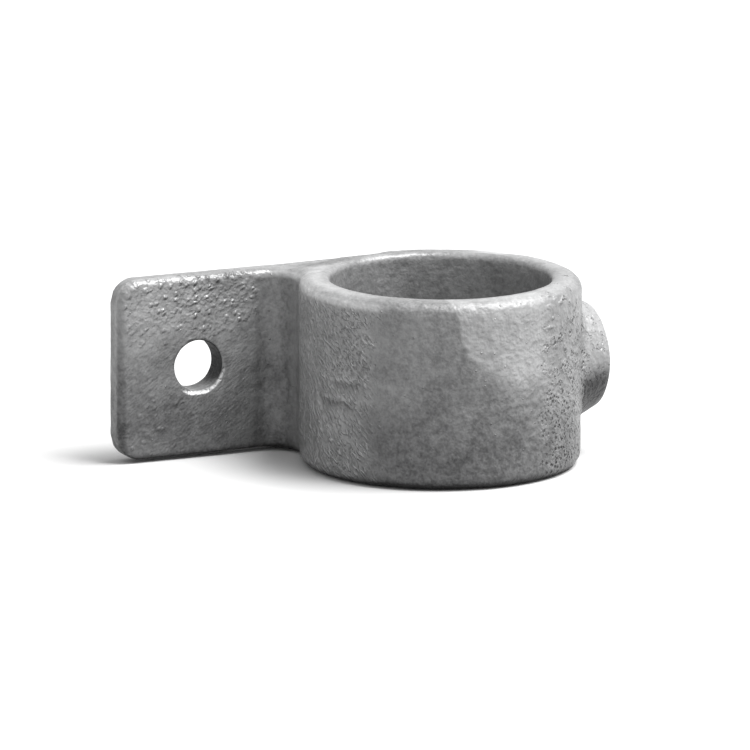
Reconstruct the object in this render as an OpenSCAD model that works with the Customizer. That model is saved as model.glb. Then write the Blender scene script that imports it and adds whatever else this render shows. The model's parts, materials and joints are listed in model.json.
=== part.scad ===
// Fence panel pipe clamp: a malleable iron casting made of a ring with a plain round bore,
// a flat lug with a bolt hole, and a boss whose set screw reaches into the bore.
// The bore runs along Z. The lug reaches towards -X and its back face looks towards +Y,
// level with the back of the ring. The boss points towards +X, away from the lug.
// The origin is in the middle of the bore, level with the set screw. Sizes are in millimetres.

/* [Bore] */
// Nominal diameter that the bore is made to pass
nominal_d = 48.3; // [42.4:0.1:60.3]
// How much wider the bore is than its nominal diameter
bore_play = 1.5; // [0.8:0.1:2.4]
// Radius that rounds both mouths of the bore
bore_edge_r = 1.4; // [0.5:0.1:2]

/* [Ring] */
// Thickness of the ring's wall
ring_wall = 6.8; // [6.8:0.1:9]
// Height of the ring along the bore
ring_h = 42.6; // [41:0.1:56]
// Radius that rounds the ring's outer edges
ring_edge_r = 3; // [1.6:0.1:3.2]

/* [Lug] */
// How far the lug reaches beyond the outside of the ring
lug_len = 35.8; // [30:0.1:60]
// Height of the lug along the bore
lug_h = 41; // [30:0.1:41]
// Thickness of the lug
lug_t = 6.2; // [5:0.1:6.6]
// Radius that rounds the lug's edges
lug_edge_r = 1.4; // [0.6:0.1:2.2]
// Radius of the two corners at the lug's free end
lug_corner_r = 5.4; // [3:0.1:9]
// Radius of the fillet between the lug's front face and the ring
lug_root_r = 6.5; // [4:0.1:9]
// How far the lug's back face lies in front of the back of the ring
lug_inset = 0.2; // [0.1:0.05:0.4]
// Stretch, measured from the middle of the ring, over which the lug swells to the ring's section
lug_loft_len = 16; // [12:0.5:20]

/* [Bolt hole] */
// Diameter of the bolt hole in the lug
hole_d = 11.5; // [6:0.1:14]
// Distance from the lug's free end to the middle of the bolt hole
hole_from_end = 19.4; // [14:0.1:24]
// Radius that rounds both rims of the bolt hole
hole_edge_r = 0.6; // [0.2:0.1:1.2]

/* [Boss] */
// How far the boss stands out from the ring
boss_len = 5.5; // [4:0.1:9]
// Diameter of the boss at its face
boss_face_d = 23.3; // [21:0.1:24]
// Diameter of the boss where it leaves the ring
boss_root_d = 28.3; // [26:0.1:29]
// Radius that rounds the rim of the boss's face
boss_edge_r = 1.1; // [0.5:0.1:1.4]
// Radius of the fillet between the boss and the ring
boss_fillet_r = 2.8; // [1.5:0.1:3]
// Width of the chamfer at the mouth of the threaded hole
mouth_chamfer = 0.9; // [0.3:0.1:1.2]

/* [Set screw] */
// Outer diameter of the thread, which is a parallel G 3/8 thread
thread_d = 16.66; // [14:0.01:17.5]
// Depth of the thread, from its crest to its root
thread_depth = 0.86; // [0.6:0.01:1]
// Length that one turn of the thread moves the screw
thread_pitch = 1.337; // [1:0.001:1.5]
// Gap all round between the screw and its hole, at the middle of the thread
thread_gap = 0.05; // [0.02:0.01:0.09]
// Turns from where it is drawn until the screw's point has crossed all the play of the bore
turns_to_grip = 2; // [2:0.25:3]
// How far the screw's outer end lies inside the boss's face
screw_recess = 0.7; // [0:0.1:2]
// Width of the chamfers at both ends of the screw
screw_chamfer = 0.9; // [0.4:0.1:1.2]
// Size of the hexagon socket across its flats
socket_af = 8; // [5:0.5:9]
// Depth of the hexagon socket
socket_depth = 5.6; // [4:0.1:6.5]
// Width of the chamfer round the mouth of the socket
socket_chamfer = 0.5; // [0.2:0.1:0.8]
// Diameter of the hollow in the screw's cup point
cup_d = 9.4; // [6:0.1:11]
// Depth of the hollow in the screw's cup point
cup_depth = 1.9; // [1:0.1:2.4]

/* [Hidden] */
$fn = 96;
hull_fn = 32; // facets of a full circle in the lofted root of the lug
over = 1; // how far a cutter runs past what it cuts
sink = 0.06; // how deep a fillet surface dives into the faces that it joins
root_lap = 0.8; // how far the filler of the lug's root runs into the lug and the ring
loft_skin = 0.03; // how far the loft stands proud of the plate that it continues

bore_r = (nominal_d + bore_play) / 2;
ring_r = bore_r + ring_wall;

lug_reach = ring_r + lug_len; // from the bore's axis to the lug's free end
lug_back_y = ring_r - lug_inset;
lug_front_y = lug_back_y - lug_t;
lug_mid_y = (lug_back_y + lug_front_y) / 2;
hole_x = -(lug_reach - hole_from_end);

boss_x = ring_r + boss_len; // the boss's face
boss_slope = (boss_root_d - boss_face_d) / 2 / boss_len;
boss_angle = atan(boss_slope); // between the side of the boss and its axis

thread_mid_r = (thread_d - thread_depth) / 2; // the threaded hole is drawn at the middle of its thread
screw_r = thread_mid_r - thread_gap;
screw_point_x = bore_r - bore_play + turns_to_grip * thread_pitch;
screw_end_x = boss_x - screw_recess;
screw_len = screw_end_x - screw_point_x;

// Half section of a plate with a rounded rim: r wide, h thick, centred on the X axis
module rim_section(r, h, edge) {
    translate([0, -h / 2]) square([r - edge, h]);
    translate([0, edge - h / 2]) square([r, h - 2 * edge]);
    for (side = [-1, 1])
        translate([r - edge, side * (h / 2 - edge)]) circle(edge);
}

// Round plate with a rounded rim, or a sector of it
module puck(r, h, edge, angle = 360) {
    rotate_extrude(angle = angle) rim_section(r, h, edge);
}

// Cutter for a round hole or hollow of radius r through a thickness h. It flares at both
// ends, so that the mouths which it leaves are rounded by edge.
module spool(r, h, edge) {
    rotate_extrude() {
        translate([0, -h / 2 - over]) square([r, h + 2 * over]);
        for (side = [0, 1])
            mirror([0, side])
                difference() {
                    translate([r - edge, h / 2 - edge]) square([2 * edge, edge + over]);
                    translate([r + edge, h / 2 - edge]) circle(edge);
                }
    }
}

// The lug's plate: the rim section goes round its outline, straight along the edges and
// turned at the corners, and a block fills the middle
module lug_plate() {
    corner_x = -(lug_reach - lug_corner_r);
    corner_z = lug_h / 2 - lug_corner_r;
    plate_x = -lug_loft_len + 0.2; // the plate ends just inside the loft
    translate([0, lug_mid_y, 0]) {
        translate([corner_x, 0, -corner_z]) mirror([1, 0, 0])
            linear_extrude(2 * corner_z) rim_section(lug_corner_r, lug_t, lug_edge_r);
        for (side = [0, 1]) mirror([0, 0, side]) {
            translate([corner_x, 0, corner_z]) mirror([1, 0, 0]) rotate([90, 0, 0])
                puck(lug_corner_r, lug_t, lug_edge_r, 90);
            translate([plate_x, 0, corner_z]) rotate([0, -90, 0])
                linear_extrude(plate_x - corner_x) rim_section(lug_corner_r, lug_t, lug_edge_r);
        }
        translate([corner_x, -lug_t / 2, -corner_z])
            cube([plate_x - corner_x, lug_t, 2 * corner_z]);
    }
}

// Four rods along X that outline one section of the lofted root. The two at the back have
// the radius back_edge.
module loft_section(x, h, back_edge) {
    rod = 0.01;
    for (side = [-1, 1]) {
        translate([x, lug_back_y - back_edge, side * (h / 2 - back_edge)]) rotate([0, -90, 0])
            cylinder(r = back_edge + loft_skin, h = rod, $fn = hull_fn);
        translate([x, lug_front_y + lug_edge_r, side * (h / 2 - lug_edge_r)]) rotate([0, -90, 0])
            cylinder(r = lug_edge_r + loft_skin, h = rod, $fn = hull_fn);
    }
}

// Loft from the lug's own section to that of the ring's back wall, which is taller and rounder
module lug_loft() {
    hull() {
        loft_section(-lug_loft_len, lug_h, lug_edge_r);
        loft_section(0, ring_h - 2 * lug_inset, ring_edge_r);
    }
}

// Filler between the lug's front face and the ring, hollowed by the root fillet
module lug_root() {
    gap = lug_root_r - sink;
    hollow_y = lug_front_y - gap;
    hollow_x = -sqrt(pow(ring_r + gap, 2) - pow(hollow_y, 2));
    lap_y = lug_front_y + root_lap;
    ring_lap = (ring_r - root_lap) / (ring_r + gap);
    difference() {
        linear_extrude(lug_h, center = true)
            polygon([
                [hollow_x, hollow_y],
                [hollow_x, lap_y],
                [-sqrt(pow(ring_r, 2) - pow(lap_y, 2)) + root_lap, lap_y],
                [hollow_x, hollow_y] * ring_lap
            ]);
        translate([hollow_x, hollow_y, 0]) spool(lug_root_r, lug_h, lug_edge_r);
    }
}

// Tapered boss along X, from inside the ring's wall to its face
module boss_cone() {
    start = ring_r - ring_wall / 2;
    rim_x = boss_x - boss_edge_r;
    rim_r = boss_radius(rim_x) - boss_edge_r / cos(boss_angle);
    rotate([0, 90, 0]) rotate_extrude() {
        polygon([
            [0, start],
            [boss_radius(start), start],
            [rim_r + boss_edge_r * cos(boss_angle), rim_x + boss_edge_r * sin(boss_angle)],
            [rim_r, rim_x],
            [rim_r, boss_x],
            [0, boss_x]
        ]);
        translate([rim_r, rim_x]) circle(boss_edge_r);
    }
}

// Radius of the boss at a distance x from the bore's axis
function boss_radius(x) = boss_root_d / 2 - (x - ring_r) * boss_slope;

// A ball that rolls round the boss and touches both it and the ring shapes the fillet.
// These give the ball's distance from the boss's axis, and from the bore's axis along X, at
// the angle a round the boss. Each pass brings the place closer.
ball_gap = boss_fillet_r - sink;
function ball_rho(x) = boss_radius(x) + ball_gap / cos(boss_angle);
function ball_x(a, passes = 10, x = ring_r) =
    passes == 0 ? x : ball_x(a, passes - 1, sqrt(pow(ring_r + ball_gap, 2) - pow(ball_rho(x) * cos(a), 2)));

// The fillet's section at the angle a: an arc of the ball from the ring to the boss, closed
// by one point inside the casting
function fillet_section(a, steps) =
    let (
        x = ball_x(a),
        rho = ball_rho(x),
        ball = [x, rho * cos(a), rho * sin(a)],
        to_ring = -[ball.x, ball.y, 0] / norm([ball.x, ball.y]),
        to_boss = -[sin(boss_angle), cos(boss_angle) * cos(a), cos(boss_angle) * sin(a)],
        turn = acos(to_ring * to_boss),
        core_r = boss_root_d / 2 - boss_fillet_r
    )
    concat(
        [for (i = [0:steps])
            ball + boss_fillet_r * (sin(turn * (1 - i / steps)) * to_ring + sin(turn * i / steps) * to_boss) / sin(turn)],
        [[ring_r - ring_wall * 0.7, core_r * cos(a), core_r * sin(a)]]
    );

// Rolling ball fillet between the boss and the ring
module boss_fillet() {
    turns = 72;
    steps = 6;
    ring = steps + 2;
    points = [for (k = [0:turns - 1]) each fillet_section(k * 360 / turns, steps)];
    function at(k, i) = (k % turns) * ring + (i % ring);
    polyhedron(
        points,
        [for (k = [0:turns - 1], i = [0:ring - 1], half = [0, 1])
            half == 0
                ? [at(k, i), at(k, i + 1), at(k + 1, i)]
                : [at(k, i + 1), at(k + 1, i + 1), at(k + 1, i)]]
    );
}

// Bore of the threaded hole and the chamfer at its mouth
module threaded_hole() {
    rotate([0, 90, 0]) {
        cylinder(r = thread_mid_r, h = boss_x + over);
        translate([0, 0, boss_x - mouth_chamfer])
            cylinder(r1 = thread_mid_r, r2 = thread_mid_r + mouth_chamfer + over, h = mouth_chamfer + over);
    }
}

module clamp_body() {
    color("#9a9c9d")
        difference() {
            union() {
                puck(ring_r, ring_h, ring_edge_r);
                lug_plate();
                lug_loft();
                lug_root();
                boss_cone();
                boss_fillet();
            }
            spool(bore_r, ring_h, bore_edge_r);
            translate([hole_x, lug_mid_y, 0]) rotate([90, 0, 0]) spool(hole_d / 2, lug_t, hole_edge_r);
            threaded_hole();
        }
}

module set_screw() {
    socket_r = socket_af / 2 / cos(30);
    color("#6f7276")
        translate([screw_point_x, 0, 0]) rotate([0, 90, 0])
            difference() {
                rotate_extrude()
                    polygon([
                        [0, cup_depth],
                        [cup_d / 2, 0],
                        [screw_r - screw_chamfer, 0],
                        [screw_r, screw_chamfer],
                        [screw_r, screw_len - screw_chamfer],
                        [screw_r - screw_chamfer, screw_len],
                        [0, screw_len]
                    ]);
                translate([0, 0, screw_len - socket_depth])
                    cylinder(r = socket_r, h = socket_depth + over, $fn = 6);
                translate([0, 0, screw_len - socket_chamfer])
                    cylinder(r1 = socket_r - socket_chamfer, r2 = socket_r + over, h = socket_chamfer + over);
            }
}

clamp_body();
set_screw();
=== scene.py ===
"""Fence panel pipe clamp: a hot dip galvanised casting and its set screw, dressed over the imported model.

Lengths are worked in millimetres in the frame of the model: Z along the bore, the lug towards -X with its
back face towards +Y, and the boss with the set screw towards +X. They become metres when a mesh is made.
"""

import json
import math
from types import SimpleNamespace

import bmesh
import bpy
import numpy as np
from mathutils import Matrix, Vector


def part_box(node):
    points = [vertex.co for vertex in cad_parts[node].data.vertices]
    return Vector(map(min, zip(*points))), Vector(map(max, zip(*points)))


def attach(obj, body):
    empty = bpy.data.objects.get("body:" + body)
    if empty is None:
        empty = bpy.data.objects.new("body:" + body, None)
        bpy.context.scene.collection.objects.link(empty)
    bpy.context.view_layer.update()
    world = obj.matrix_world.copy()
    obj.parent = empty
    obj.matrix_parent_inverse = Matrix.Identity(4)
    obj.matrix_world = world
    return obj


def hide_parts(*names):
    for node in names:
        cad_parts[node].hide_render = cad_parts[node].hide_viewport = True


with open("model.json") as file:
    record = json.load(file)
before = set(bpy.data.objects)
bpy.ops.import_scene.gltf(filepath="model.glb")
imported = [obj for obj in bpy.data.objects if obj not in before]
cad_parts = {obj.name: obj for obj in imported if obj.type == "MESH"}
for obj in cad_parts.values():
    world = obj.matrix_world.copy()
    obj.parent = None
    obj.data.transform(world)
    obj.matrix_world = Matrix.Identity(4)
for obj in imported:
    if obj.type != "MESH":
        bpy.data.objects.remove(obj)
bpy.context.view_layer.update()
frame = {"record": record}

bl_info = {
    "name": "Fence panel pipe clamp",
    "version": (1, 0, 0),
    "blender": (4, 5, 0),
    "location": "3D View > Sidebar > Pipe clamp",
    "description": "Makes a galvanised cast pipe clamp with a drilled lug and a socket set screw",
    "category": "Add Mesh",
}

MM = 0.001
MOUNTS = {mount["name"]: mount for mount in frame["record"]["mounts"]}
HOLE_AT = MOUNTS["lug_hole"]["pos_m"]
PANEL_AT = MOUNTS["panel_face"]["pos_m"]
BODY_OF = {node: body for body, nodes in frame["record"]["behaviour"]["bodies"].items() for node in nodes}
CAST_LOW, CAST_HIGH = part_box("clamp_body")
SCREW_LOW, SCREW_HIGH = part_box("set_screw")


def mount_radius(name):
    """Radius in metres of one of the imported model's round mounts."""
    return MOUNTS[name]["dims"]["r_mm"] * MM


def length(name, description, default):
    """A size in metres for a property group."""
    return bpy.props.FloatProperty(
        name=name, description=description, default=default, min=0, unit="LENGTH", precision=5
    )


def share(name, description, default):
    """A plain number from 0 to 1 for a property group."""
    return bpy.props.FloatProperty(
        name=name, description=description, default=default, min=0, max=1, subtype="FACTOR"
    )


def tint(name, description, default):
    """A colour for a property group."""
    return bpy.props.FloatVectorProperty(
        name=name, description=description, default=default, size=3, min=0, max=1, subtype="COLOR"
    )


class ClampSizes(bpy.types.PropertyGroup):
    """Sizes of the casting and its screw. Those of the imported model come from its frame."""

    ring_radius: length("Ring radius", "Outer radius of the ring", -CAST_LOW.y)
    ring_height: length("Ring height", "Height of the ring along the bore", CAST_HIGH.z - CAST_LOW.z)
    ring_edge: length("Ring edge", "Radius that rounds the ring's outer edges", 3.0 * MM)
    bore_radius: length("Bore radius", "Radius of the ring's bore", mount_radius("tube_bore"))
    bore_edge: length("Bore edge", "Radius that rounds the mouths of the bore", 1.4 * MM)
    lug_end: length("Lug end", "From the bore's axis to the lug's free end", -CAST_LOW.x)
    lug_mid: length("Lug middle", "From the bore's axis to the middle of the lug's thickness", HOLE_AT[1])
    lug_back: length("Lug back", "From the bore's axis to the lug's back face", PANEL_AT[1])
    lug_height: length("Lug height", "Height of the lug along the bore", 41.0 * MM)
    lug_edge: length("Lug edge", "Radius that rounds the lug's edges", 1.4 * MM)
    lug_corner: length("Lug corner", "Radius of the lug's two free corners", 5.4 * MM)
    lug_root: length("Lug root", "Radius of the fillet between the lug and the ring", 6.5 * MM)
    hole_place: length("Hole place", "From the bore's axis to the bolt hole", -HOLE_AT[0])
    hole_radius: length("Hole radius", "Radius of the bolt hole", mount_radius("lug_hole"))
    hole_edge: length("Hole edge", "Radius that rounds the rims of the bolt hole", 0.6 * MM)
    boss_end: length("Boss face", "From the bore's axis to the face of the boss", CAST_HIGH.x)
    boss_face: length("Boss face radius", "Radius of the boss at its face", 11.65 * MM)
    boss_root: length("Boss root radius", "Radius of the boss where it leaves the ring", 14.15 * MM)
    boss_edge: length("Boss edge", "Radius that rounds the rim of the boss", 1.1 * MM)
    boss_fillet: length("Boss fillet", "Radius of the fillet between the boss and the ring", 2.8 * MM)
    mouth: length("Mouth chamfer", "Radius of the chamfer where it meets the face of the boss", 8.8 * MM)
    thread_radius: length("Thread radius", "Radius of the thread's crest", 8.33 * MM)
    thread_depth: length("Thread depth", "From the thread's crest to its root", 0.86 * MM)
    thread_pitch: length("Thread pitch", "Length of one turn of the thread", 1.337 * MM)
    thread_gap: length("Thread gap", "Gap between the screw's thread and the boss's", 0.07 * MM)
    thread_room: length("Thread room", "Gap between the thread's crest and the hole round it", 0.12 * MM)
    screw_point: length("Screw point", "From the bore's axis to the point of the screw", SCREW_LOW.x)
    screw_head: length("Screw end", "From the bore's axis to the outer end of the screw", SCREW_HIGH.x)
    screw_chamfer: length("Screw chamfer", "Width of the chamfers at both ends of the screw", 0.9 * MM)
    socket_flats: length("Socket", "Size of the hexagon socket across its flats", 8.0 * MM)
    socket_depth: length("Socket depth", "Depth of the hexagon socket", 5.6 * MM)
    socket_chamfer: length("Socket chamfer", "Width of the chamfer round the mouth of the socket", 0.5 * MM)
    cup_radius: length("Cup radius", "Radius of the hollow in the screw's point", 4.7 * MM)
    cup_depth: length("Cup depth", "Depth of the hollow in the screw's point", 1.9 * MM)
    mesh_cell: length("Mesh cell", "Width of the casting's mesh cells", 0.5 * MM)


class ClampLooks(bpy.types.PropertyGroup):
    """Colours and surfaces of the clamp, and the light on it."""

    # Both zinc colours also carry painted light and shade: painted highlights move the tone towards the
    # light zinc, and painted shade towards the dark one.
    zinc_light: tint("Light zinc", "Colour of the zinc coat where it shines most", (0.79, 0.793, 0.797))
    zinc_dark: tint("Dark zinc", "Colour of the zinc coat in its pits and streaks", (0.05, 0.05, 0.051))
    steel: tint("Screw", "Colour of the plated screw", (0.33, 0.335, 0.345))
    floor: tint("Floor", "Colour of the floor", (0.8, 0.8, 0.8))
    floor_bounce: tint("Floor bounce", "Colour of the light that the floor sends up", (0.12, 0.12, 0.12))
    fill: tint("Fill", "Colour of the light from all round", (0.48, 0.48, 0.48))
    key: bpy.props.FloatProperty(
        name="Key lamp", description="Power of the main lamp in watts", default=60, min=0
    )
    swell: length("Swell", "Height of the long waves in the cast surface", 0.08 * MM)
    short_swell: length("Short swell", "Height of the short waves in the cast surface", 0.04 * MM)
    grain: length("Grain", "Height of the sand's grains on the lug's upper front", 0.20 * MM)
    metal: share("Metal", "How much the zinc coat shines like bare metal", 0.25)
    gloss: share("Roughness", "Roughness of the zinc coat", 0.42)
    shine: share("Shine", "Strength of the zinc coat's mirror light", 0.35)
    middle_tone: share("Middle tone", "Tone of the zinc coat before its lights and darks are added", 0.51)
    light_share: share("Light share", "Share of the light zinc's colour where the tone is full", 0.715)


def in_mm(group):
    """The group's lengths in millimetres and its other values as they are, under their own names."""
    values = {}
    for name in group.__annotations__:
        value = getattr(group, name)
        rna = group.bl_rna.properties[name]
        values[name] = value / MM if rna.unit == "LENGTH" else value
    return SimpleNamespace(**values)


# Plain mathematics


def ease(value, start, full):
    """From 0 at start to 1 at full, level at both ends. start may lie above full."""
    t = np.clip((value - start) / (full - start), 0, 1)
    return t * t * (3 - 2 * t)


def mix(first, second, amount):
    """Straight line from first to second."""
    return first + (second - first) * amount


def shares(steps):
    """Evenly spaced numbers from 0 to 1, a number of steps apart."""
    return np.linspace(0, 1, steps + 1)


def stations(start, stop, pitch):
    """Evenly spaced values from start to stop, no further apart than pitch but for a rounding error."""
    rounding = 1e-6
    steps = math.ceil(abs(stop - start) / pitch - rounding)
    return np.linspace(start, stop, steps + 1)


def joined(*runs):
    """One run of values from several that share their ends."""
    return np.concatenate([runs[0]] + [run[1:] for run in runs[1:]])


def filleted(first, second, cosine, radius):
    """Distance to two solids joined with a fillet.

    The cosine is that of the angle between the directions out of them. A ball that touches both solids has
    its centre where both distances equal its radius. Between the two touching directions, the surface is the
    ball's.
    """
    a = radius - first
    b = radius - second
    from_centre = np.sqrt(np.maximum(a * a + b * b - 2 * cosine * a * b, 0) / (1 - cosine * cosine))
    between = (a > cosine * b) & (b > cosine * a)
    return np.where(between, radius - from_centre, np.minimum(first, second))


def rounded(first, second, radius):
    """Distance to what two solids share, with their common edge rounded.

    Both distances are moved out by the radius and then joined as the two sides of a right angle.
    """
    a = first + radius
    b = second + radius
    return np.minimum(np.maximum(a, b), 0) + np.hypot(np.maximum(a, 0), np.maximum(b, 0)) - radius


def gradient(points, distance, step=0.01):
    """Slope of a distance at each point, from its change over one step either way along each axis."""
    slopes = []
    for axis in np.eye(3) * step:
        slopes.append((distance(points + axis) - distance(points - axis)) / (2 * step))
    return np.stack(slopes, -1)


def settle(points, distance, rounds=6, flattest=0.5, longest=0.8):
    """Points moved straight onto the surface where the distance is nought, by Newton's method.

    A slope counts as flattest at least, and no move crosses more of the distance than longest.
    """
    for _ in range(rounds):
        slope = gradient(points, distance)
        steep = np.maximum(np.sum(slope * slope, -1), flattest**2)
        points = points - slope * (np.clip(distance(points), -longest, longest) / steep)[:, None]
    return points


def lattice_value(cells, seed):
    """A number from 0 to 1 for each whole-numbered cell, always the same for the same cell and seed.

    The seed and the cell's three numbers are each multiplied by a large number and combined bit by bit.
    The outcome is stirred twice, and its upper half is combined with its lower one.
    """
    low_bits, half_bits = 0xFFFFFFFF, 0xFFFF
    mixed = seed * 2654435761
    for axis, factor in enumerate((73856093, 19349663, 83492791)):
        mixed = mixed ^ cells[..., axis] * factor
    for shift, factor in ((13, 1274126177), (15, 2246822519)):
        mixed = (mixed ^ (mixed >> shift)) * factor & low_bits
    return ((mixed ^ (mixed >> 16)) & half_bits) / half_bits


def waves(points, size, seed):
    """Smooth noise from -1 to 1: the values at the eight corners of each cell, eased into each other.

    The easing of a part t of the cell is six times its fifth power, less fifteen times its fourth power,
    plus ten times its third power.
    """
    scaled = points / size
    cells = np.floor(scaled).astype(np.int64)
    part = scaled - cells
    part = part**3 * (part * (part * 6 - 15) + 10)
    total = np.zeros(len(points))
    for corner in np.ndindex(2, 2, 2):
        weight = np.prod(np.where(np.array(corner) == 1, part, 1 - part), -1)
        total += weight * lattice_value(cells + np.array(corner), seed)
    return total * 2 - 1


def round_screw(x, radius, turn):
    """Points round the screw's axis, from their place along it, their distance from it and their turn."""
    return np.stack([x + 0 * turn, radius * np.cos(turn), radius * np.sin(turn)], -1)


# The casting


def boss_radius(s, x):
    """Radius of the tapered boss at a distance x from the bore's axis."""
    return mix(s.boss_root, s.boss_face, (x - s.ring_radius) / (s.boss_end - s.ring_radius))


def boss_taper(s):
    """Angle between the boss's side and the screw's axis."""
    return math.atan2(s.boss_root - s.boss_face, s.boss_end - s.ring_radius)


def root_centre(s):
    """Centre of the lug's root fillet, seen along the bore."""
    y = 2 * s.lug_mid - s.lug_back - s.lug_root
    return -math.sqrt((s.ring_radius + s.lug_root) ** 2 - y * y), y


def casting_distance(points, s):
    """Distance from the casting's surface, negative inside it.

    Seen along the bore, the outline is the ring and the lug's plate, with the root fillet between the two
    directions in which its circle touches them. The upper and lower rims are rounded, and go smoothly from
    the lug's height and rounding to the ring's over the loft. The boss is a cone, filleted to the wall of
    the outline. The bore, the bolt hole and the screw's hole are then cut away.
    """
    x, y, z = points[:, 0], points[:, 1], points[:, 2]
    loft_half, least_off_axis, sharpest_cosine = 4, 1, 0.9
    from_axis = np.hypot(x, y)
    ring = from_axis - s.ring_radius
    through_lug = np.abs(y - s.lug_mid) - (s.lug_back - s.lug_mid)
    plate = np.maximum(through_lug, x)
    centre_x, centre_y = root_centre(s)
    direction = np.arctan2(y - centre_y, x - centre_x)
    in_root = (direction > math.atan2(-centre_y, -centre_x)) & (direction < math.pi / 2)
    in_root &= (x < 0) & (y < s.lug_mid)
    root = s.lug_root - np.hypot(x - centre_x, y - centre_y)
    outline = np.where(in_root, root, np.minimum(ring, plate))

    to_end = s.lug_corner - (x + s.lug_end)
    to_top = np.abs(z) - s.lug_height / 2 + s.lug_corner
    lug_rim = np.hypot(np.maximum(to_end, 0), np.maximum(to_top, 0)) - s.lug_corner
    lug_rim = lug_rim + np.minimum(np.maximum(to_end, to_top), 0)
    ring_rim = np.abs(z) - s.ring_height / 2
    ring_share = ease(plate - ring, start=-loft_half, full=loft_half)
    rim = mix(lug_rim, ring_rim, ring_share)
    body = rounded(outline, rim, mix(s.lug_edge, s.ring_edge, ring_share))

    around = np.hypot(y, z)
    taper = boss_taper(s)
    cone = rounded((around - boss_radius(s, x)) * math.cos(taper), x - s.boss_end, s.boss_edge)
    cone = np.maximum(cone, s.bore_radius / 2 - x)
    cosine = math.sin(taper) * x + math.cos(taper) * y * y / np.maximum(around, least_off_axis)
    cosine = np.clip(cosine / np.maximum(from_axis, least_off_axis), 0, sharpest_cosine)
    body = np.where(x > 0, filleted(body, cone, cosine, s.boss_fillet), body)

    body = np.maximum(body, rounded(s.bore_radius - from_axis, ring_rim, s.bore_edge))
    off_hole = np.hypot(x + s.hole_place, z)
    bolt_hole = rounded(s.hole_radius - off_hole, through_lug, s.hole_edge)
    body = np.where(off_hole < s.hole_radius + s.hole_edge, np.maximum(body, bolt_hole), body)
    mouth = (s.mouth + x - s.boss_end - around) / math.sqrt(2)
    screw_hole = np.maximum(s.thread_radius + s.thread_room - around, mouth)
    return np.where(x > 0, np.maximum(body, screw_hole), body)


def window_loop(grid, rows, cols):
    """The points round a window in a grid: along its first row, down its last column and back."""
    there = [grid[rows[0], cols[:-1]], grid[rows[:-1], cols[-1]]]
    back = [grid[rows[-1], cols[:0:-1]], grid[rows[:0:-1], cols[0]]]
    return np.concatenate(there + back)


def closed_sleeve(levels):
    """A grid from a list of loops, with the first point of each repeated at its end."""
    grid = np.array(levels)
    return np.concatenate([grid, grid[:, :1]], 1)


def fan(first, second, amounts):
    """Rows that lie between two rows of points, one for each amount."""
    return [mix(first, second, amount) for amount in amounts]


def quarter_round(centre, radius, first, second, steps):
    """Rows along a quarter circle round each centre, from the first direction to the second."""
    turns = shares(steps) * math.pi / 2
    return [centre + radius * (first * math.cos(turn) + second * math.sin(turn)) for turn in turns]


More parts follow.
